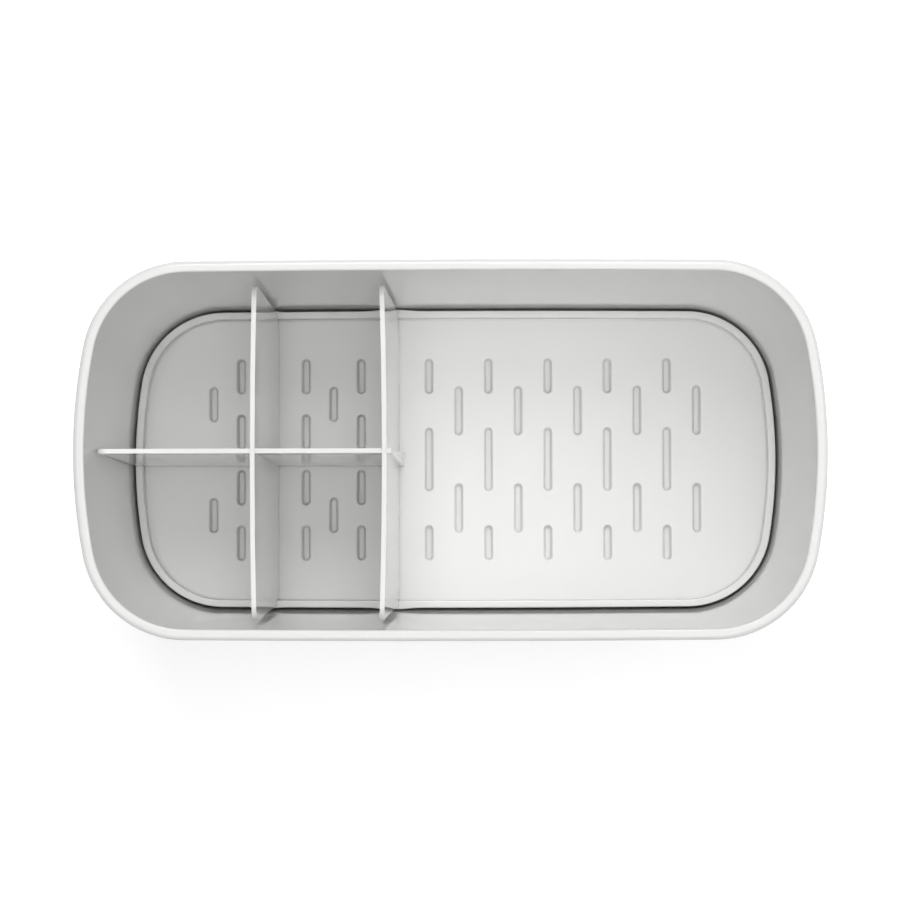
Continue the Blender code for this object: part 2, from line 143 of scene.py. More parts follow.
# Fine rounds of the dividers, the feet and the slots
EDGE_ROUND = 0.00035
SLOT_EDGE_ROUND = 0.00045
SLOT_TAPER = 0.00065
POCKET_EDGE_ROUND = 0.0001

# Narrow flat strip beside a round, which keeps the shading of the flat face even
SUPPORT = 0.0001
WIDE_SUPPORT = SUPPORT * 3
# How far inside a section's last corner its flat middle begins
CAP_MARGIN = 0.0040

# Small moulding marks under the floor: a gate in the middle and ejector pins in two rows
GATE_RADIUS = 0.0045
GATE_DEPTH = 0.0004
# Rings of the gate's stub as radius and share of the gate's depth
GATE_STUB = ((0.0013, 1.0), (0.0011, 0.4), (0.0006, 0.2))
PIN_RADIUS = 0.0035
PIN_DEPTH = 0.00012
PIN_SPACING = 0.075
PIN_ROW = 0.030

# Short grooves across the feet
GROOVE_COUNT = 5
GROOVE_LENGTH = 0.0036
GROOVE_WIDTH = 0.0011
GROOVE_DEPTH = 0.00025

# Edge round of a mark or groove as a share of its depth, and its toe as a share of that round
MARK_EDGE = 0.6
DISH_TOE = 0.3

# A divider's edges above this angle are rounded
SOFTEN_FROM = math.radians(50.0)
# How far the larger faces lead the shading, from 1 to 100
LARGE_FACE_WEIGHT = 100
# Edges above these angles stay sharp in the shading
TRAY_SHARP_FROM = math.radians(60.0)
PLATE_SHARP_FROM = math.radians(45.0)

# Points of the outlines
END_SEGMENTS = 12
CORNER_SEGMENTS = 26
SIDE_STATIONS = 9
# The evenly spaced stations of a side keep this many corner radii from its ends, and clear of
# a swell by this share of its reach
STATION_MARGIN = 1.5
SWELL_CLEAR = 1.1
SWELL_STEPS = 6
SLOT_END_SEGMENTS = 8
FOOT_END_SEGMENTS = 14
CIRCLE_SEGMENTS = 28

# Steps of the rounds and bends
BASE_STEPS = 14
RIM_OUTER_STEPS = 9
RIM_INNER_STEPS = 7
MOAT_STEPS = 7
SMALL_STEPS = 5
TINY_STEPS = 4
LIP_OUTER_STEPS = 8
LIP_INNER_STEPS = 7
PLATE_FOOT_STEPS = 6
PLATE_CORNER_STEPS = 14
DISH_STEPS = 4
TREAD_STEPS = 5
BOW_STEPS = 16
EDGE_SEGMENTS = 4
# A bevel's profile that makes it a circular arc
ROUND_PROFILE = 0.5

# Flat faces are filled with triangles in millimetres, which suits the filling better than metres
FILL_SCALE = 1000.0
FILL_INSIDE = 1
FILL_TOLERANCE = 1e-6
CUT_TOLERANCE = 1e-6
# Decimals of a metre to which an edge's ends have to match a notch's corners
MATCH_DECIMALS = 5

# Middle range of a noise
NOISE_RANGE = (0.3, 0.7)

# White plastics: scale and detail of the colour's clouds, the gloss, the hairlines and the waves
CLOUDS = (24.0, 4.0)
CLOUD_DISTORTION = 0.4
GLOSS_PATCHES = (160.0, 3.0)
GLOSS_VARIES = (0.8, 1.2)
HAIRLINES = (1.0, 2.0)
HAIRLINE_STRETCH = (2600.0, 90.0, 900.0)
HAIRLINE_RANGE = (0.68, 0.76)
HAIRLINE_ROUGHNESS = 0.05
WAVES = (30.0, 1.0)
WAVE_DEPTH = 0.000006
GRAIN_DETAIL = 2.0
PLASTIC_IOR = 1.5
# How much of the light goes into the white plastics, how deep, and how evenly by colour
GLOW_WEIGHT = 0.5
GLOW_DEPTH = 0.0015
GLOW_COLOURS = (1.0, 1.0, 1.0)

# Grey feet: scale and detail of the dust, the dull patches and the grain
DUST = (500.0, 5.0)
DUST_RANGE = (0.35, 0.7)
DUST_COLOURS = ((0.40, 0.41, 0.41), (0.47, 0.48, 0.48))
DULL_PATCHES = (900.0, 3.0)
DULL_ROUGHNESS = (0.68, 0.82)
RUBBER_GRAIN = (5200.0, 3.0)
RUBBER_GRAIN_DEPTH = 0.00006

WHITE = (1.0, 1.0, 1.0)
# The floor lies just under the feet. Where it is seen directly it also glows, a little under
# the caddy and up to white farther out, and the glow rises between two distances from it.
FLOOR_SIZE = 4.0
FLOOR_DROP = 0.00005
FLOOR_COLOUR = (0.85, 0.85, 0.85)
FLOOR_GLOW = 0.45
GLOW_FROM = 0.35
GLOW_TO = 1.1

# The sky fades from the horizon up to this height (the sine of its angle) and brightens above it
SKY_FROM = 0.35
SKY_HORIZON = 0.45
SKY_OVERHEAD = 0.49
LAMP_DISTANCE = 1.75
LAMP_SIZE = 0.95
# Direction round the caddy, height, both in degrees, and power
LAMPS = {
    "back_lamp": (90.0, 60.0, 12.0),
    "right_lamp": (0.0, 60.0, 4.3),
    "front_lamp": (270.0, 60.0, 4.4),
    "overhead_lamp": (0.0, 90.0, 3.4),
}

# The camera looks straight down, apart from a slight tilt and roll in radians
CAMERA_PLACE = (0.0237, -0.0405, 1.2067)
CAMERA_LENS = 123.7
CAMERA_SENSOR = 36.0
CAMERA_TILT_X = -0.0370
CAMERA_TILT_Y = -0.0215
CAMERA_ROLL = 0.0025
CAMERA_CLIP = (0.05, 50.0)

# Heights, places and radii that follow from the values above
MOAT_FLOOR = FOOT_STAND + MOAT_FLOOR_THICKNESS
PLATEAU_TOP = MOAT_FLOOR + PLATEAU_RISE
TRAY_UNDERSIDE = PLATEAU_TOP + SEAT_GAP
TRAY_FLOOR = TRAY_UNDERSIDE + TRAY_FLOOR_THICKNESS
LIP_TOP = TRAY_FLOOR + LIP_HEIGHT
SKIRT_BOTTOM = TRAY_UNDERSIDE - SKIRT_DROP
DIVIDER_TOP = HEIGHT - DIVIDER_BELOW_RIM
DIVIDER_BOTTOM = TRAY_FLOOR + SEAT_GAP
LAP_HEIGHT = DIVIDER_TOP - CROSSING_DEPTH
PARALLEL_FROM = LAP_HEIGHT - PARALLEL_MARGIN
LEFT_DIVIDER_X = -LENGTH / 2 + LEFT_DIVIDER_FROM_END
RIGHT_DIVIDER_X = -LENGTH / 2 + RIGHT_DIVIDER_FROM_END
INNER_CORNER = CORNER_RADIUS - RIM_WIDTH
SKIN_CORNER = INNER_CORNER + WALL_THICKNESS


def wall_inset(z):
    """How far the tub's inner wall lies inside the rim's outer edge at height z."""
    return RIM_WIDTH + (HEIGHT - z) * math.tan(WALL_DRAFT)


def outer_wall_inset(z):
    return wall_inset(z) - WALL_THICKNESS


def tray_outer_inset(z):
    return wall_inset(z) + TRAY_GAP


def lip_inner_inset(z):
    top = tray_outer_inset(LIP_TOP) + LIP_WIDTH
    return top + (LIP_TOP - z) * math.tan(LIP_DRAFT)


def end_x(inset):
    return LENGTH / 2 - inset


def side_y(inset, x):
    """Half width of an inset outline at a place x along its bowed side."""
    radius = SIDE_RADIUS - inset
    return WIDTH / 2 - inset - radius + math.sqrt(radius * radius - x * x)


def divider_half(z):
    """Half a divider's thickness: even through the half-laps, drafted below them."""
    return DIVIDER_TOP_THICKNESS / 2 + max(PARALLEL_FROM - z, 0.0) * math.tan(DIVIDER_DRAFT)


def bow_at(u, z, bow):
    """How far a divider stands out sideways; its foot is straight."""
    middle, end = bow
    rise = min((z - DIVIDER_BOTTOM) / (PARALLEL_FROM - DIVIDER_BOTTOM), 1.0)
    return rise * (middle + (end - middle) * (u / BOW_REACH) ** 2)


def circle_meet(first, first_radius, second, second_radius):
    """The upper right crossing of two circles."""
    dx, dy = second[0] - first[0], second[1] - first[1]
    span = math.hypot(dx, dy)
    along = (first_radius ** 2 - second_radius ** 2 + span ** 2) / (2 * span)
    across = math.sqrt(first_radius ** 2 - along ** 2)
    foot_x = first[0] + dx * along / span
    foot_y = first[1] + dy * along / span
    meets = []
    for sign in (1, -1):
        x = foot_x + sign * dy * across / span
        y = foot_y - sign * dx * across / span
        meets.append((x, y))
    return max(meets, key=sum)


def side_stations(swells):
    """Places along the long sides that get a point of the outline."""
    reach = LENGTH / 2 - CORNER_RADIUS * STATION_MARGIN
    places = [reach * (2 * i / (SIDE_STATIONS - 1) - 1) for i in range(SIDE_STATIONS)]
    steps = range(-SWELL_STEPS, SWELL_STEPS + 1)
    for centre, _, half in swells:
        places = [x for x in places if abs(x - centre) > half * SWELL_CLEAR]
        places += [centre + half * step / SWELL_STEPS for step in steps]
    return sorted(places)


def swell_at(x, swells):
    """How far the tray's edge swells out beside a cross divider."""
    total = 0.0
    for centre, height, half in swells:
        if abs(x - centre) < half:
            total += height * (0.5 + 0.5 * math.cos(math.pi * (x - centre) / half))
    return total


def outline(inset, corner, stations, swells=()):
    """Closed outline with bowed ends, almost straight sides and round corners."""
    end_radius = END_RADIUS - inset
    side_radius = SIDE_RADIUS - inset
    end_centre = (end_x(inset) - end_radius, 0.0)
    side_centre = (0.0, WIDTH / 2 - inset - side_radius)
    centre = circle_meet(end_centre, end_radius - corner, side_centre, side_radius - corner)
    start = math.atan2(centre[1] - end_centre[1], centre[0] - end_centre[0])
    stop = math.atan2(centre[1] - side_centre[1], centre[0] - side_centre[0])
    quarter = []
    for i in range(END_SEGMENTS):
        angle = start * i / END_SEGMENTS
        x = end_centre[0] + end_radius * math.cos(angle)
        quarter.append((x, end_radius * math.sin(angle)))
    for i in range(CORNER_SEGMENTS + 1):
        angle = start + (stop - start) * i / CORNER_SEGMENTS
        x = centre[0] + corner * math.cos(angle)
        quarter.append((x, centre[1] + corner * math.sin(angle)))
    side = [(x, side_y(inset, x) + swell_at(x, swells)) for x in stations]
    points = list(quarter)
    points += reversed(side)
    points += [(-x, y) for x, y in reversed(quarter)]
    points += [(-x, -y) for x, y in quarter[1:]]
    points += [(x, -y) for x, y in side]
    points += [(x, -y) for x, y in reversed(quarter[1:])]
    return points


def fillet(before, corner, after, radius, steps):
    """Points of an arc that rounds the corner between two neighbours."""
    first = (Vector(before) - Vector(corner)).normalized()
    second = (Vector(after) - Vector(corner)).normalized()
    half = first.angle(second) / 2
    trim = radius / math.tan(half)
    centre = Vector(corner) + (first + second).normalized() * (radius / math.sin(half))
    start = Vector(corner) + first * trim - centre
    stop = Vector(corner) + second * trim - centre
    sweep = start.angle(stop)
    points = []
    for i in range(steps + 1):
        part = i / steps
        mix = start * math.sin((1 - part) * sweep) + stop * math.sin(part * sweep)
        points.append(tuple(centre + mix / math.sin(sweep)))
    return points


def rounded(corners):
    """Rounds an open path of (u, v, radius, steps, tag) corners into (u, v, tag) points."""
    points = []
    for i, (u, v, radius, steps, tag) in enumerate(corners):
        if radius == 0.0:
            points.append((u, v, tag))
            continue
        arc = fillet(corners[i - 1][:2], (u, v), corners[i + 1][:2], radius, steps)
        points += [(a, b, tag) for a, b in arc]
    return points


def pill_points(x, y, length, width, along_x=False, segments=SLOT_END_SEGMENTS):
    """Outline of a slot with round ends, its length along Y or X."""
    points = []
    straight = (length - width) / 2
    for side in (1, -1):
        for i in range(segments + 1):
            angle = math.pi * i / segments
            across = side * width / 2 * math.cos(angle)
            along = side * (straight + width / 2 * math.sin(angle))
            points.append((x + along, y - across) if along_x else (x + across, y + along))
    return points


def circle_points(x, y, radius):
    angles = [2 * math.pi * i / CIRCLE_SEGMENTS for i in range(CIRCLE_SEGMENTS)]
    return [(x + radius * math.cos(a), y + radius * math.sin(a)) for a in angles]


def stack(bm, rings):
    """Joins rings of (points, z) with faces and returns their loops of vertices."""
    loops = [[bm.verts.new((x, y, z)) for x, y in points] for points, z in rings]
    count = len(loops[0])
    for lower, upper in zip(loops, loops[1:]):
        for i in range(count):
            j = (i + 1) % count
            bm.faces.new((lower[i], lower[j], upper[j], upper[i]))
    return loops


def inside(x, y, loop, low, high):
    """Whether a point lies inside a closed loop of vertices with the given box."""
    if not (low[0] < x < high[0] and low[1] < y < high[1]):
        return False
    hit = False
    for here, there in zip(loop, loop[1:] + loop[:1]):
        ax, ay, bx, by = here.co.x, here.co.y, there.co.x, there.co.y
        if (ay > y) != (by > y) and x < ax + (y - ay) * (bx - ax) / (by - ay):
            hit = not hit
    return hit


def fill_flat(bm, loops):
    """Fills the flat region between an outer loop of vertices and the holes in it."""
    verts = [v for loop in loops for v in loop]
    edges = []
    for loop in loops:
        start = len(edges)
        edges += [(start + i, start + (i + 1) % len(loop)) for i in range(len(loop))]
    boxes = []
    for loop in loops:
        xs = [v.co.x for v in loop]
        ys = [v.co.y for v in loop]
        boxes.append(((min(xs), min(ys)), (max(xs), max(ys))))
    places = [Vector((v.co.x * FILL_SCALE, v.co.y * FILL_SCALE)) for v in verts]
    _, _, faces, sources, _, _ = delaunay_2d_cdt(
        places, edges, [], FILL_INSIDE, FILL_TOLERANCE, True)
    for face in faces:
        corners = [verts[sources[i][0]] for i in face]
        x = sum(v.co.x for v in corners) / 3
        y = sum(v.co.y for v in corners) / 3
        if sum(inside(x, y, loop, *box) for loop, box in zip(loops, boxes)) == 1:
            bm.faces.new(corners)


def finish_mesh(name, bm, material, sharp_from=None):
    """Turns a bmesh into a smooth scene object, with edges above an angle kept sharp."""
    bmesh.ops.recalc_face_normals(bm, faces=bm.faces[:])
    if bm.calc_volume(signed=True) < 0.0:
        bmesh.ops.reverse_faces(bm, faces=bm.faces[:])
    for face in bm.faces:
        face.smooth = True
    mesh = bpy.data.meshes.new(name)
    bm.to_mesh(mesh)
    bm.free()
    if sharp_from is not None:
        mesh.set_sharp_from_angle(angle=sharp_from)
    mesh.materials.append(material)
    obj = bpy.data.objects.new(name, mesh)
    bpy.context.scene.collection.objects.link(obj)
    return obj


def even_shading(obj):
    """Lets the large faces lead the shading, so that narrow rounds don't tint flat ones."""
    shading = obj.modifiers.new("even_shading", "WEIGHTED_NORMAL")
    shading.weight = LARGE_FACE_WEIGHT
    shading.keep_sharp = True


def dish(points_at, edge, depth, facing, surface):
    """Rings of a round-edged sinking into a flat surface, from its rim to its bottom.

    points_at(grow) is the sinking's outline grown by that much, edge is the round of its rim,
    and facing is +1 where the surface faces up and -1 where it faces down.
    """
    rings = [(points_at(edge + SUPPORT), surface)]
    for i in range(DISH_STEPS + 1):
        angle = math.pi / 2 * i / DISH_STEPS
        z = surface - facing * edge * (1 - math.cos(angle))
        rings.append((points_at(edge * (1 - math.sin(angle))), z))
    bottom = surface - facing * depth
    toe = edge * DISH_TOE
    rings.append((points_at(-SLOT_TAPER), bottom + facing * toe))
    rings.append((points_at(-SLOT_TAPER - toe), bottom))
    rings.append((points_at(-SLOT_TAPER - toe - SUPPORT), bottom))
    return rings


def foot_places():
    """Name and centre of each foot, under the flat ring below the moat."""
    ring_outer = outer_wall_inset(FOOT_STAND + BASE_ROUND) + BASE_ROUND
    ring_inner = wall_inset(MOAT_FLOOR) + MOAT_WIDTH + FLOOR_THICKNESS
    inset = (ring_outer + ring_inner) / 2
    x = LENGTH / 2 - CORNER_RADIUS - FOOT_FROM_CORNER - FOOT_LENGTH / 2
    y = side_y(inset, x)
    return [
        ("foot_front_left", -x, -y),
        ("foot_front_right", x, -y),
        ("foot_back_left", -x, y),
        ("foot_back_right", x, y),
    ]


def tub_ring(inset, z, tag, stations):
    """The tub's outline at a point of its section, with the corner radius of that face."""
    if tag == "rim":
        corner = CORNER_RADIUS - inset
    elif tag == "skin":
        corner = SKIN_CORNER - (inset - outer_wall_inset(z))
    else:
        corner = INNER_CORNER - (inset - wall_inset(z))
    return outline(inset, corner, stations), z


def make_tub(material):
    """The tub: its section swept round the outline, with foot pockets and moulding marks below."""
    base = FOOT_STAND
    ceiling = PLATEAU_TOP - FLOOR_THICKNESS
    moat_inner = wall_inset(MOAT_FLOOR) + MOAT_WIDTH
    plateau_edge = moat_inner + PLATEAU_BATTER
    recess_edge = plateau_edge + FLOOR_THICKNESS
    bead_bottom = HEIGHT - RIM_DEPTH
    bead_step = outer_wall_inset(bead_bottom)
    under = rounded([
        (recess_edge + CAP_MARGIN, ceiling, 0.0, 0, "inner"),
        (recess_edge, ceiling, RECESS_ROUND, SMALL_STEPS, "inner"),
        (recess_edge - PLATEAU_BATTER, base, RECESS_EDGE_ROUND, SMALL_STEPS, "inner"),
        (recess_edge - PLATEAU_BATTER - WIDE_SUPPORT, base, 0.0, 0, "inner"),
    ])
    over = rounded([
        (recess_edge, base, 0.0, 0, "skin"),
        (outer_wall_inset(base), base, BASE_ROUND, BASE_STEPS, "skin"),
        (bead_step, bead_bottom - bead_step, BEAD_STEP_ROUND, TINY_STEPS, "skin"),
        (0.0, bead_bottom, BEAD_EDGE_ROUND, SMALL_STEPS, "rim"),
        (0.0, HEIGHT, RIM_OUTER_ROUND, RIM_OUTER_STEPS, "rim"),
        (RIM_WIDTH, HEIGHT, RIM_INNER_ROUND, RIM_INNER_STEPS, "rim"),
        (wall_inset(MOAT_FLOOR), MOAT_FLOOR, MOAT_ROUND, MOAT_STEPS, "inner"),
        (moat_inner, MOAT_FLOOR, MOAT_INNER_ROUND, SMALL_STEPS, "inner"),
        (plateau_edge, PLATEAU_TOP, PLATEAU_ROUND, SMALL_STEPS, "inner"),
        (plateau_edge + CAP_MARGIN, PLATEAU_TOP, 0.0, 0, "inner"),
    ])[1:]
    stations = side_stations(())
    bm = bmesh.new()
    under_loops = stack(bm, [tub_ring(*point, stations) for point in under])
    over_loops = stack(bm, [tub_ring(*point, stations) for point in over])

    pockets = []
    for _, x, y in foot_places():
        def pocket(grow, x=x, y=y):
            size = 2 * (SEAT_GAP + grow)
            return pill_points(x, y, FOOT_LENGTH + size, FOOT_WIDTH + size, along_x=True)
        loops = stack(bm, dish(pocket, POCKET_EDGE_ROUND, FOOT_POCKET, -1, base))
        bm.faces.new(loops[-1])
        pockets.append(loops[0])
    fill_flat(bm, [over_loops[0], under_loops[-1]] + pockets)

    marks = []
    places = [(0.0, 0.0, GATE_RADIUS, GATE_DEPTH)]
    for i in (-1, 0, 1):
        for j in (-1, 1):
            places.append((i * PIN_SPACING, j * PIN_ROW, PIN_RADIUS, PIN_DEPTH))
    for x, y, radius, depth in places:
        def mark(grow, x=x, y=y, radius=radius):
            return circle_points(x, y, radius + grow)
        loops = stack(bm, dish(mark, depth * MARK_EDGE, depth, -1, ceiling))
        if radius == GATE_RADIUS:
            stub = stack(bm, [
                (circle_points(x, y, ring), ceiling + depth * share) for ring, share in GATE_STUB])
            fill_flat(bm, [loops[-1], stub[0]])
            bm.faces.new(stub[-1])
        else:
            bm.faces.new(loops[-1])
        marks.append(loops[0])
    fill_flat(bm, [under_loops[0]] + marks)
    bm.faces.new(over_loops[-1])
    tub = finish_mesh("tub_shell", bm, material)
    even_shading(tub)
    return tub


def slot_columns():
    """Columns of drain slots as (x, slots), each slot a (y, length) pair."""
    two = [(-SLOT_ROW, SHORT_SLOT), (SLOT_ROW, SHORT_SLOT)]
    four = [(row * SLOT_ROW, SHORT_SLOT) for row in (-1.5, -0.5, 0.5, 1.5)]
    outer_pair = [(-MEDIUM_ROW, MEDIUM_SLOT), (MEDIUM_ROW, MEDIUM_SLOT)]
    long_middle = [(-1.5 * SLOT_ROW, SHORT_SLOT), (0.0, LONG_SLOT), (1.5 * SLOT_ROW, SHORT_SLOT)]
    reach = end_x(lip_inner_inset(TRAY_FLOOR)) - SLOT_END_MARGIN
    columns = []

    def run(first, pitch, last, patterns):
        count = int(abs(last - first) / abs(pitch)) + 1
        for i in range(count):
            columns.append((first + i * pitch, patterns[i % 2]))

    run(LEFT_DIVIDER_X - END_FIRST_COLUMN, -SMALL_COLUMN_PITCH, -reach, (four, two))
    middle_last = RIGHT_DIVIDER_X - MIDDLE_LAST_MARGIN
    run(LEFT_DIVIDER_X + MIDDLE_FIRST_COLUMN, SMALL_COLUMN_PITCH, middle_last, (four, two))
    run(RIGHT_DIVIDER_X + MAIN_FIRST_COLUMN, MAIN_COLUMN_PITCH, reach, (long_middle, outer_pair))
    return columns


def make_tray(material):
    """The tray: its lip and skirt swept round the outline, and slots right through its floor."""
    lip_outer = tray_outer_inset(LIP_TOP)
    skirt_inner = tray_outer_inset(SKIRT_BOTTOM) + SKIRT_THICKNESS
    lip_foot = lip_inner_inset(TRAY_FLOOR)
    section = rounded([
        (skirt_inner + CAP_MARGIN, TRAY_UNDERSIDE, 0.0, 0, False),
        (skirt_inner, TRAY_UNDERSIDE, SKIRT_ROOT_ROUND, TINY_STEPS, False),
        (skirt_inner, SKIRT_BOTTOM, SKIRT_INNER_ROUND, TINY_STEPS, False),
        (tray_outer_inset(SKIRT_BOTTOM), SKIRT_BOTTOM, SKIRT_OUTER_ROUND, TINY_STEPS, True),
        (lip_outer, LIP_TOP, LIP_OUTER_ROUND, LIP_OUTER_STEPS, True),
        (lip_outer + LIP_WIDTH, LIP_TOP, LIP_INNER_ROUND, LIP_INNER_STEPS, False),
        (lip_foot, TRAY_FLOOR, LIP_FILLET, LIP_INNER_STEPS, False),
        (lip_foot + CAP_MARGIN, TRAY_FLOOR, 0.0, 0, False),
    ])
    swells = (
        (LEFT_DIVIDER_X, LEFT_SWELL, LEFT_SWELL_REACH),
        (RIGHT_DIVIDER_X, RIGHT_SWELL, RIGHT_SWELL_REACH),
    )
    stations = side_stations(swells)
    rings = []
    for inset, z, swollen in section:
        corner = INNER_CORNER - TRAY_GAP - (inset - tray_outer_inset(z))
        rings.append((outline(inset, corner, stations, swells if swollen else ()), z))
    bm = bmesh.new()
    loops = stack(bm, rings)
    tops = [loops[-1]]
    bottoms = [loops[0]]
    for x, slots in slot_columns():
        for y, length in slots:
            def slot(grow, x=x, y=y, length=length):
                return pill_points(x, y, length + 2 * grow, SLOT_WIDTH + 2 * grow)
            # A dish without its flat bottom, open to the underside
            rings = dish(slot, SLOT_EDGE_ROUND, TRAY_FLOOR_THICKNESS, 1, TRAY_FLOOR)[:-2]
            rings.append((slot(-SLOT_TAPER), TRAY_UNDERSIDE))
            well = stack(bm, rings)
            tops.append(well[0])
            bottoms.append(well[-1])
    fill_flat(bm, tops)
    fill_flat(bm, bottoms)
    tray = finish_mesh("slotted_tray", bm, material, sharp_from=TRAY_SHARP_FROM)
    even_shading(tray)
    return tray


def wall_end(reach_at, lip_reach, corner_radius):
    """One end of a divider, from its bottom edge up to its rounded top corner, as (u, z)."""
    shoulder = LIP_TOP + DIVIDER_LIP_GAP
    path = rounded([
        (0.0, DIVIDER_BOTTOM, 0.0, 0, None),
        (lip_reach, DIVIDER_BOTTOM, LIP_FILLET, PLATE_FOOT_STEPS, None),
        (lip_reach, shoulder, 0.0, 0, None),
        (reach_at(shoulder), shoulder, EDGE_ROUND, TINY_STEPS, None),
        (reach_at(DIVIDER_TOP), DIVIDER_TOP, corner_radius, PLATE_CORNER_STEPS, None),
        (0.0, DIVIDER_TOP, 0.0, 0, None),
    ])
    return [(u, z) for u, z, _ in path[1:-1]]


def notch(heights, centre, bow):
    """A notch that takes the other divider's thickness, as (u, z) points from -u to +u.

    heights run from the notch's open end to its closed end; bow is the other divider's.
    """
    left = []
    right = []
    for z in heights:
        middle = centre + bow_at(0.0, z, bow)
        half = divider_half(z) + CROSSING_GAP
        left.append((middle - half, z))
        right.append((middle + half, z))
    return left + right[::-1]


def slice_at(bm, place, normal):
    """Adds edges where a plane meets the body, so that it can bend there."""
    everything = bm.verts[:] + bm.edges[:] + bm.faces[:]
    bmesh.ops.bisect_plane(
        bm, geom=everything, dist=CUT_TOLERANCE, plane_co=place, plane_no=normal)


def edges_to_round(bm, notches):
    """The steep edges of a divider, apart from those of its notches and its foot."""
    def place(u, z):
        return round(u, MATCH_DECIMALS), round(z, MATCH_DECIMALS)

    crisp = {place(u, z) for u, z in notches}
    found = []
    for edge in bm.edges:
        in_notch = all(place(v.co.x, v.co.z) in crisp for v in edge.verts)
        at_foot = all(v.co.z < DIVIDER_BOTTOM + SUPPORT for v in edge.verts)
        if edge.calc_face_angle() > SOFTEN_FROM and not in_notch and not at_foot:
            found.append(edge)
    return found


def plate(name, points, notches, along_x, offset, bow, material):
    """A divider with the given (u, z) outline, u along X or Y, and soft edges.

    It is first a slab from -1 to +1 across, which then takes its drafted thickness and bow.
    """
    bm = bmesh.new()
    sides = [[bm.verts.new((u, side, z)) for u, z in points] for side in (-1.0, 1.0)]
    for i in range(len(points)):
        j = (i + 1) % len(points)
        bm.faces.new((sides[0][i], sides[0][j], sides[1][j], sides[1][i]))
    bm.faces.new(sides[0])
    bm.faces.new(sides[1])
    slice_at(bm, (0.0, 0.0, PARALLEL_FROM), (0.0, 0.0, 1.0))
    if bow[0] != bow[1]:
        for step in range(1 - BOW_STEPS, BOW_STEPS):
            slice_at(bm, (BOW_REACH * step / BOW_STEPS, 0.0, 0.0), (1.0, 0.0, 0.0))
    steep = edges_to_round(bm, notches)
    for vert in bm.verts:
        u, side, z = vert.co
        across = offset + side * divider_half(z) + bow_at(u, z, bow)
        vert.co = (u, across, z) if along_x else (across, u, z)
    bmesh.ops.bevel(
        bm, geom=steep, offset=EDGE_ROUND, offset_type="OFFSET", segments=EDGE_SEGMENTS,
        profile=ROUND_PROFILE, affect="EDGES", clamp_overlap=True)
    obj = finish_mesh(name, bm, material, sharp_from=PLATE_SHARP_FROM)
    even_shading(obj)
    return obj


def make_lengthwise_plate(material):
    """The divider along the middle: two notches open at the top, an ear at its right end."""
    def reach(z):
        return end_x(wall_inset(z)) - END_WALL_GAP

    lip_reach = end_x(lip_inner_inset(TRAY_FLOOR)) - DIVIDER_LIP_GAP
    left_end = [(-u, z) for u, z in reversed(wall_end(reach, lip_reach, END_CORNER))]
    ear_top = RIGHT_DIVIDER_X + RIGHT_BOW[0] + DIVIDER_TOP_THICKNESS / 2 + CROSSING_GAP + EAR_WIDTH
    ear_foot = ear_top + divider_half(DIVIDER_BOTTOM) - DIVIDER_TOP_THICKNESS / 2
    heights = (DIVIDER_TOP, LAP_HEIGHT - CROSSING_GAP / 2)
    notches = notch(heights, LEFT_DIVIDER_X, LEFT_BOW) + notch(heights, RIGHT_DIVIDER_X, RIGHT_BOW)
    points = [(ear_foot, DIVIDER_BOTTOM), (ear_top, PARALLEL_FROM), (ear_top, DIVIDER_TOP)]
    points += reversed(notches)
    points += left_end
    return plate("lengthwise_plate", points, notches, True, 0.0, LENGTHWISE_BOW, material)


def make_cross_plate(name, x, bow, material):
    """A divider across the width, with one notch open at the bottom."""
    def reach(z):
        return side_y(wall_inset(z), abs(x)) - SIDE_WALL_GAP

    lip_reach = side_y(lip_inner_inset(TRAY_FLOOR), abs(x)) - DIVIDER_LIP_GAP
    right = wall_end(reach, lip_reach, SIDE_CORNER)
    left = [(-u, z) for u, z in reversed(right)]
    heights = (DIVIDER_BOTTOM, PARALLEL_FROM, LAP_HEIGHT + CROSSING_GAP / 2)
    notches = notch(heights, 0.0, LENGTHWISE_BOW)
    return plate(name, notches + right + left, notches, False, x, bow, material)


def make_foot(name, x, y, material):
    """A soft foot with a rounded tread edge and short grooves across its underside."""
    top = FOOT_STAND + FOOT_POCKET - SEAT_GAP

    def outline_at(grow):
        length = FOOT_LENGTH + 2 * grow
        width = FOOT_WIDTH + 2 * grow
        return pill_points(x, y, length, width, along_x=True, segments=FOOT_END_SEGMENTS)

    bm = bmesh.new()
    rings = [(outline_at(-EDGE_ROUND - SUPPORT), 0.0)]
    for i in range(TREAD_STEPS + 1):
        angle = math.pi / 2 * i / TREAD_STEPS
        grow = EDGE_ROUND * (math.sin(angle) - 1)
        rings.append((outline_at(grow), EDGE_ROUND * (1 - math.cos(angle))))
    rings += [(outline_at(0.0), top - EDGE_ROUND / 2), (outline_at(-EDGE_ROUND / 2), top)]
    loops = stack(bm, rings)
    bm.faces.new(loops[-1])
    grooves = []
    for i in range(GROOVE_COUNT):
        place = x + (i - (GROOVE_COUNT - 1) / 2) * FOOT_LENGTH / (GROOVE_COUNT + 1)

        def groove(grow, place=place):
            return pill_points(place, y, GROOVE_LENGTH + 2 * grow, GROOVE_WIDTH + 2 * grow)

        sunk = stack(bm, dish(groove, GROOVE_DEPTH * MARK_EDGE, GROOVE_DEPTH, -1, 0.0)[:-1])
        bm.faces.new(sunk[-1])
        grooves.append(sunk[0])
    fill_flat(bm, [loops[0]] + grooves)
    foot = finish_mesh(name, bm, material)
    even_shading(foot)
    return foot


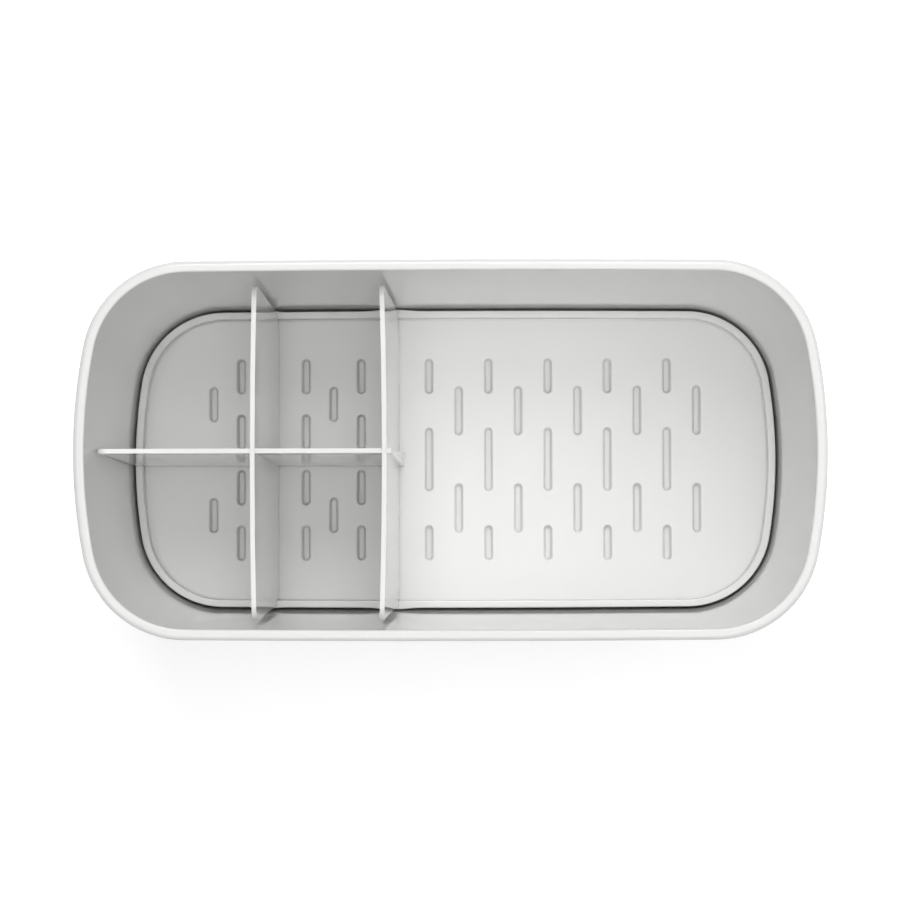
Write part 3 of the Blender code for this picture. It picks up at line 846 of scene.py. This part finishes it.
class Nodes:
    """The node tree of a material or a world, with short ways to add and join nodes."""

    def __init__(self, owner):
        owner.use_nodes = True
        self.owner = owner
        self.tree = owner.node_tree
        self.places = self.add("ShaderNodeTexCoord").outputs

    def add(self, kind, **settings):
        node = self.tree.nodes.new(kind)
        for key, value in settings.items():
            setattr(node, key, value)
        return node

    def join(self, source, target):
        self.tree.links.new(source, target)

    def coloured(self, kind, colour):
        node = self.add(kind)
        node.inputs["Color"].default_value = (*colour, 1.0)
        return node

    def stretched(self, scale):
        mapping = self.add("ShaderNodeMapping")
        mapping.inputs["Scale"].default_value = scale
        self.join(self.places["Object"], mapping.inputs["Vector"])
        return mapping.outputs["Vector"]

    def noise(self, scale_and_detail, place=None, distortion=0.0):
        node = self.add("ShaderNodeTexNoise")
        node.inputs["Scale"].default_value, node.inputs["Detail"].default_value = scale_and_detail
        node.inputs["Distortion"].default_value = distortion
        self.join(place or self.places["Object"], node.inputs["Vector"])
        return node.outputs["Fac"]

    def spread(self, value, source, target):
        """Maps a value from one range to another and clamps it there."""
        node = self.add("ShaderNodeMapRange")
        node.inputs["From Min"].default_value, node.inputs["From Max"].default_value = source
        node.inputs["To Min"].default_value, node.inputs["To Max"].default_value = target
        self.join(value, node.inputs["Value"])
        return node.outputs["Result"]

    def maths(self, operation, first, second):
        node = self.add("ShaderNodeMath", operation=operation)
        self.join(first, node.inputs[0])
        self.join(second, node.inputs[1])
        return node.outputs["Value"]

    def blend(self, factor, first, second):
        node = self.add("ShaderNodeMix", data_type="RGBA")
        node.inputs["A"].default_value = (*first, 1.0)
        node.inputs["B"].default_value = (*second, 1.0)
        self.join(factor, node.inputs["Factor"])
        return node.outputs["Result"]

    def bump(self, height, distance, normal=None):
        node = self.add("ShaderNodeBump")
        node.inputs["Distance"].default_value = distance
        self.join(height, node.inputs["Height"])
        if normal is not None:
            self.join(normal, node.inputs["Normal"])
        return node.outputs["Normal"]

    def by_sight(self, unseen, seen):
        """One shader for camera, glossy and transmission rays, and another for all other light."""
        path = self.add("ShaderNodeLightPath").outputs
        direct = self.maths("MAXIMUM", path["Is Camera Ray"], path["Is Glossy Ray"])
        direct = self.maths("MAXIMUM", direct, path["Is Transmission Ray"])
        mix = self.add("ShaderNodeMixShader")
        self.join(direct, mix.inputs[0])
        self.join(unseen.outputs[0], mix.inputs[1])
        self.join(seen.outputs[0], mix.inputs[2])
        return mix.outputs[0]


def moulded_plastic(name, colour, shade, roughness, grain_scale, grain_depth):
    """White moulded plastic: clouded colour, uneven gloss, fine grain, slow waves, hairlines."""
    nodes = Nodes(bpy.data.materials.new(name))
    inputs = nodes.tree.nodes["Principled BSDF"].inputs
    cloud = nodes.spread(nodes.noise(CLOUDS, distortion=CLOUD_DISTORTION), NOISE_RANGE, (0.0, 1.0))
    nodes.join(nodes.blend(cloud, colour, shade), inputs["Base Color"])
    gloss_range = [roughness * share for share in GLOSS_VARIES]
    gloss = nodes.spread(nodes.noise(GLOSS_PATCHES), NOISE_RANGE, gloss_range)
    hairline = nodes.noise(HAIRLINES, place=nodes.stretched(HAIRLINE_STRETCH))
    scuff = nodes.spread(hairline, HAIRLINE_RANGE, (0.0, HAIRLINE_ROUGHNESS))
    nodes.join(nodes.maths("ADD", gloss, scuff), inputs["Roughness"])
    waves = nodes.bump(nodes.noise(WAVES), WAVE_DEPTH)
    grain = nodes.bump(nodes.noise((grain_scale, GRAIN_DETAIL)), grain_depth, normal=waves)
    nodes.join(grain, inputs["Normal"])
    inputs["IOR"].default_value = PLASTIC_IOR
    inputs["Subsurface Weight"].default_value = GLOW_WEIGHT
    inputs["Subsurface Radius"].default_value = GLOW_COLOURS
    inputs["Subsurface Scale"].default_value = GLOW_DEPTH
    return nodes.owner


def soft_elastomer(name):
    """Grey rubber-like feet: dusty mottling and a fine matte grain."""
    nodes = Nodes(bpy.data.materials.new(name))
    inputs = nodes.tree.nodes["Principled BSDF"].inputs
    dust = nodes.spread(nodes.noise(DUST), DUST_RANGE, (0.0, 1.0))
    nodes.join(nodes.blend(dust, *DUST_COLOURS), inputs["Base Color"])
    dull = nodes.spread(nodes.noise(DULL_PATCHES), NOISE_RANGE, DULL_ROUGHNESS)
    nodes.join(dull, inputs["Roughness"])
    grain = nodes.bump(nodes.noise(RUBBER_GRAIN), RUBBER_GRAIN_DEPTH)
    nodes.join(grain, inputs["Normal"])
    return nodes.owner


def make_floor():
    """Pale floor that glows where it is seen directly, so that it looks white round its shadow."""
    bm = bmesh.new()
    half = FLOOR_SIZE / 2
    corners = [(-half, -half), (half, -half), (half, half), (-half, half)]
    bm.faces.new([bm.verts.new((x, y, -FLOOR_DROP)) for x, y in corners])
    nodes = Nodes(bpy.data.materials.new("pale_floor"))
    nodes.tree.nodes.remove(nodes.tree.nodes["Principled BSDF"])
    plain = nodes.coloured("ShaderNodeBsdfDiffuse", FLOOR_COLOUR)
    away = nodes.add("ShaderNodeVectorMath", operation="LENGTH")
    nodes.join(nodes.places["Object"], away.inputs[0])
    glow = nodes.coloured("ShaderNodeEmission", WHITE)
    rise = nodes.spread(away.outputs["Value"], (GLOW_FROM, GLOW_TO), (FLOOR_GLOW, 1.0))
    nodes.join(rise, glow.inputs["Strength"])
    bright = nodes.add("ShaderNodeAddShader")
    nodes.join(plain.outputs[0], bright.inputs[0])
    nodes.join(glow.outputs[0], bright.inputs[1])
    output = nodes.tree.nodes["Material Output"]
    nodes.join(nodes.by_sight(plain, bright), output.inputs["Surface"])
    finish_mesh("studio_floor", bm, nodes.owner)


def make_lamp(name, turn, rise, power):
    lamp = bpy.data.lights.new(name, "AREA")
    lamp.shape = "DISK"
    lamp.size = LAMP_SIZE
    lamp.energy = power
    obj = bpy.data.objects.new(name, lamp)
    bpy.context.scene.collection.objects.link(obj)
    turn = math.radians(turn)
    rise = math.radians(rise)
    level = math.cos(rise)
    away = Vector((math.cos(turn) * level, math.sin(turn) * level, math.sin(rise)))
    obj.location = away * LAMP_DISTANCE
    obj.rotation_euler = (-away).to_track_quat("-Z", "Y").to_euler()
    obj.visible_camera = False


def make_light():
    """A soft sky that is brighter overhead, and large lamps round the caddy and above it."""
    nodes = Nodes(bpy.data.worlds.new("studio"))
    bpy.context.scene.world = nodes.owner
    split = nodes.add("ShaderNodeSeparateXYZ")
    nodes.join(nodes.places["Generated"], split.inputs[0])
    low = nodes.spread(split.outputs["Z"], (0.0, SKY_FROM), (SKY_HORIZON, 0.0))
    high = nodes.spread(split.outputs["Z"], (SKY_FROM, 1.0), (0.0, SKY_OVERHEAD))
    sky = nodes.tree.nodes["Background"]
    sky.inputs["Color"].default_value = (*WHITE, 1.0)
    nodes.join(nodes.maths("ADD", low, high), sky.inputs["Strength"])
    backdrop = nodes.coloured("ShaderNodeBackground", WHITE)
    output = nodes.tree.nodes["World Output"]
    nodes.join(nodes.by_sight(sky, backdrop), output.inputs["Surface"])
    for name, (turn, rise, power) in LAMPS.items():
        make_lamp(name, turn, rise, power)


def make_camera():
    """Looks straight down from a little right of and in front of the middle."""
    data = bpy.data.cameras.new("camera")
    data.lens = CAMERA_LENS
    data.sensor_width = CAMERA_SENSOR
    data.clip_start, data.clip_end = CAMERA_CLIP
    camera = bpy.data.objects.new("camera", data)
    bpy.context.scene.collection.objects.link(camera)
    turn = Matrix.Rotation(CAMERA_ROLL, 4, "Z") @ Matrix.Rotation(CAMERA_TILT_Y, 4, "Y")
    turn = turn @ Matrix.Rotation(CAMERA_TILT_X, 4, "X")
    camera.matrix_world = Matrix.Translation(CAMERA_PLACE) @ turn.inverted()
    bpy.context.scene.camera = camera


def dress(piece, body, node):
    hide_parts(node)
    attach(piece, body)


shell_plastic = moulded_plastic(
    "glossy_white_shell", colour=(0.835, 0.835, 0.825), shade=(0.82, 0.82, 0.812),
    roughness=0.03, grain_scale=2600.0, grain_depth=0.00000006)
tray_plastic = moulded_plastic(
    "glossy_white_tray", colour=(0.845, 0.845, 0.835), shade=(0.828, 0.828, 0.82),
    roughness=0.06, grain_scale=3400.0, grain_depth=0.0000002)
# The dividers' plastic is the shell's, painted a little lighter: painted light that brightens the
# dividers' faces
divider_plastic = moulded_plastic(
    "glossy_white_divider", colour=(0.855, 0.855, 0.845), shade=(0.84, 0.84, 0.832),
    roughness=0.03, grain_scale=2600.0, grain_depth=0.00000006)
elastomer = soft_elastomer("grey_elastomer")

dress(make_tub(shell_plastic), "caddy", "caddy_body")
dress(make_tray(tray_plastic), "tray", "drip_tray")
lengthwise_plate = make_lengthwise_plate(divider_plastic)
dress(lengthwise_plate, "lengthwise_divider", "lengthwise_divider")
for side, x, bow in (("left", LEFT_DIVIDER_X, LEFT_BOW), ("right", RIGHT_DIVIDER_X, RIGHT_BOW)):
    piece = make_cross_plate(side + "_cross_plate", x, bow, divider_plastic)
    dress(piece, side + "_cross_divider", side + "_cross_divider")
for node, x, y in foot_places():
    dress(make_foot("soft_" + node, x, y, elastomer), "caddy", node)

make_floor()
make_light()
make_camera()
bpy.context.scene.view_settings.view_transform = "Standard"
